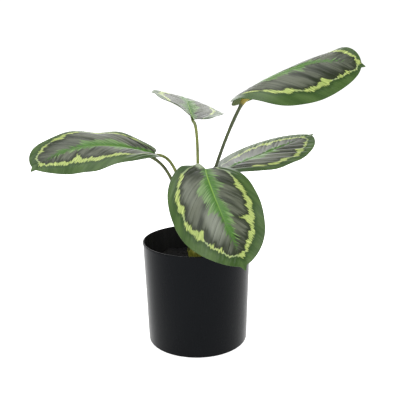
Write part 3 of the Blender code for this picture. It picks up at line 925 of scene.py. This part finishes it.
def print_places(name, blade, along, across):
    """What the face's material reads at each point, by attribute name, and the veins' turns."""
    shift, left_width, right_width, narrower, _, painted_sheen = PRINT_FIT[name]
    on_right = across >= 0
    # Where the point is on the print, in millimetres towards the tip and out from the midrib
    reach = along * PRINT_LENGTH - at(shift, along)
    out = across * blade.width_at(along) / blade.half_width * PRINT_HALF_WIDTH
    out /= np.where(on_right, at(right_width, along), at(left_width, along))
    far = np.abs(out)
    leans = [start + more * along for start, more in (VEIN_LEAN["right"], VEIN_LEAN["left"])]
    vein = reach - np.where(on_right, *leans) * far - VEIN_BEND * far**2
    uneven, wave = VEIN_UNEVEN
    turn = vein / VEIN_SPACING + uneven * np.sin(wave * vein)
    turn = turn + np.where(on_right, VEIN_STAGGER, 0)
    places = {
        "print": np.stack([vein, far, np.sign(across)], axis=1),
        "ridge": np.sin(math.pi * turn),
        "ring_inside": inside(reach, out, RING_INSIDE_LEFT, RING_INSIDE_RIGHT),
        "ring_outside": inside(reach, out, RING_OUTSIDE_LEFT, RING_OUTSIDE_RIGHT),
        "feather": inside(reach, out, FEATHER_LEFT, FEATHER_RIGHT) - narrower,
    }
    start, whole = LINE_START
    places["midrib"] = np.clip((LINE_END - along) / LINE_FADE, 0, 1)
    places["midrib"] *= np.clip((along - start) / whole, 0, 1)
    smooth = np.where(on_right, SMOOTH_PART["right"], SMOOTH_PART["left"])
    ring_width = places["ring_outside"] - places["ring_inside"]
    places["ragged"] = np.clip((along - SMOOTH_START) / smooth, SMOOTH_LEAST, 1)
    places["ragged"] *= np.clip(ring_width / RAGGED_WIDTH, RAGGED_LEAST, 1)
    # The painted sheen's strength at each point: grey painted highlights, scaled by this leaf's
    # share
    places["painted_sheen"] = painted_sheen * sum(
        strength * np.exp(-(((reach - a) / length) ** 4) - ((out - b) / width) ** 4)
        for a, b, length, width, strength in PAINTED_SHEENS
    )
    _, fold_place, fold_width, fold_length = BASE_FOLD
    fold = np.exp(-(((out - fold_place) / fold_width) ** 2) - (reach / fold_length) ** 2)
    places["fold"] = fold if name == "front" else 0 * fold
    return places, turn


def leaf_surface(name, blade, places):
    """The shape of one leaf. It fills places with what its material reads at each point."""

    def surface(u, v):
        # More rows near the base and the tip, where the outline turns
        along = (1 + np.sin((2 * u - 1) * math.pi / 2)) / 2
        across = 1 - 2 * v
        marks, turn = print_places(name, blade, along, across)
        places.update(marks)
        far = marks["print"][:, 1]
        edge = PRINT_HALF_WIDTH * blade.width_at(along) / blade.half_width - far
        fade = np.clip(far / VEIN_FADE[0], 0, 1) * np.clip(edge / VEIN_FADE[1], 0, 1)
        varies, by_vein, by_length = VEIN_VARIES
        uneven = 1 - varies + varies * np.sin(by_vein * turn + by_length * far)
        vein_height = PRINT_FIT[name][4]
        relief = vein_height * np.abs(marks["ridge"]) * fade * uneven
        relief += BASE_FOLD[0] * marks["fold"]
        groove = GROOVE_DEPTH * np.exp(-((far / GROOVE_WIDTH) ** 2))
        groove = groove * np.clip((GROOVE_END - along) / GROOVE_FADE, 0, 1)
        return blade.point(along, across, groove - relief)

    return surface


leaf_face, leaf_underside = leaf_looks()
for name, blade in BLADES.items():
    places = {}
    leaf = sheet(*LEAF_GRID, leaf_surface(name, blade, places), merge=False)
    for kind, values in places.items():
        add_attribute(leaf, kind, values, "FLOAT_VECTOR" if kind == "print" else "FLOAT")
    leaf.data.materials.append(leaf_face)
    leaf.data.materials.append(leaf_underside)
    thickness = leaf.modifiers.new("Thickness", "SOLIDIFY")
    thickness.thickness = LEAF_THICKNESS
    thickness.offset = 0
    thickness.material_offset = 1
    finish_piece(leaf, f"{name}_blade", "leaf", f"leaf_{name}")

# Floor, light and camera: a seamless white studio with a large soft light overhead and weaker ones
# to the upper left, behind, in front and on the right, seen from a little above the rim.
FLOOR_SIZE = 12
FLOOR_DROP = 0.0005
# How bright the studio is round the plant as a light, and behind it as the camera sees it
STUDIO_LIGHT = 0.45
STUDIO_SEEN = 1.1
LIGHT_AIM = Vector((0, 0, 0.16))
FRAME_PIXELS = 400
FOCAL_PIXELS = 577
SENSOR_WIDTH = 36
CAMERA_DISTANCE = 0.634
CAMERA_TARGET = Vector((0.00446, 0, 0.1605))
CAMERA_PITCH = 0.2385
CAMERA_ROLL = -0.0130

look = Look(
    "studio_white",
    0.9,
    Specular_IOR_Level=0.0,
    Emission_Color=(1, 1, 1, 1),
    Emission_Strength=0.75,
)
paper = look.noise(look.place(), 300.0, 3.0)
white = look.finish(look.mix(look.level(paper), (0.90, 0.90, 0.90), (0.93, 0.93, 0.93)))
bpy.ops.object.select_all(action="DESELECT")
bpy.ops.mesh.primitive_plane_add(size=FLOOR_SIZE, location=(0, 0, -FLOOR_DROP))
floor = bpy.context.object
floor.name = "studio_floor"
floor.data.materials.append(white)

world = bpy.context.scene.world or bpy.data.worlds.new("studio")
bpy.context.scene.world = world
world.use_nodes = True
backdrop = world.node_tree.nodes["Background"]
backdrop.inputs["Color"].default_value = (1, 1, 1, 1)
# Pure white behind the plant, and dimmer as a light, so that the lamps can shape the leaves
seen = world.node_tree.nodes.new("ShaderNodeLightPath")
strength = world.node_tree.nodes.new("ShaderNodeMapRange")
world.node_tree.links.new(seen.outputs["Is Camera Ray"], strength.inputs["Value"])
strength.inputs["To Min"].default_value = STUDIO_LIGHT
strength.inputs["To Max"].default_value = STUDIO_SEEN
world.node_tree.links.new(strength.outputs[0], backdrop.inputs["Strength"])


def soft_light(name, place, size, power):
    """A square light that faces the plant."""
    bpy.ops.object.light_add(type="AREA", location=place)
    light = bpy.context.object
    light.name = name
    light.data.size = size
    light.data.energy = power
    light.visible_camera = False
    light.rotation_euler = (LIGHT_AIM - Vector(place)).to_track_quat("-Z", "Y").to_euler()


soft_light("top_light", (-0.2, 0.1, 1.8), 1.4, 20)
soft_light("key_light", (-0.9, -0.5, 1.4), 1.2, 7)
soft_light("back_light", (-0.1, 1.9, 0.75), 1.3, 10)
soft_light("front_light", (-0.6, -1.5, 0.7), 1.2, 9)
soft_light("right_light", (1.3, -0.1, 0.8), 1.0, 9)

forward = Vector((0, math.cos(CAMERA_PITCH), -math.sin(CAMERA_PITCH)))
level_right = Vector((1, 0, 0))
level_up = Vector((0, math.sin(CAMERA_PITCH), math.cos(CAMERA_PITCH)))
right = level_right * math.cos(CAMERA_ROLL) + level_up * math.sin(CAMERA_ROLL)
up = level_up * math.cos(CAMERA_ROLL) - level_right * math.sin(CAMERA_ROLL)
bpy.ops.object.camera_add(location=CAMERA_TARGET - forward * CAMERA_DISTANCE)
camera = bpy.context.object
camera.rotation_euler = Matrix((right, up, -forward)).transposed().to_euler()
camera.data.sensor_width = SENSOR_WIDTH
camera.data.lens = FOCAL_PIXELS / FRAME_PIXELS * SENSOR_WIDTH
bpy.context.scene.camera = camera
bpy.context.scene.view_settings.view_transform = "Standard"
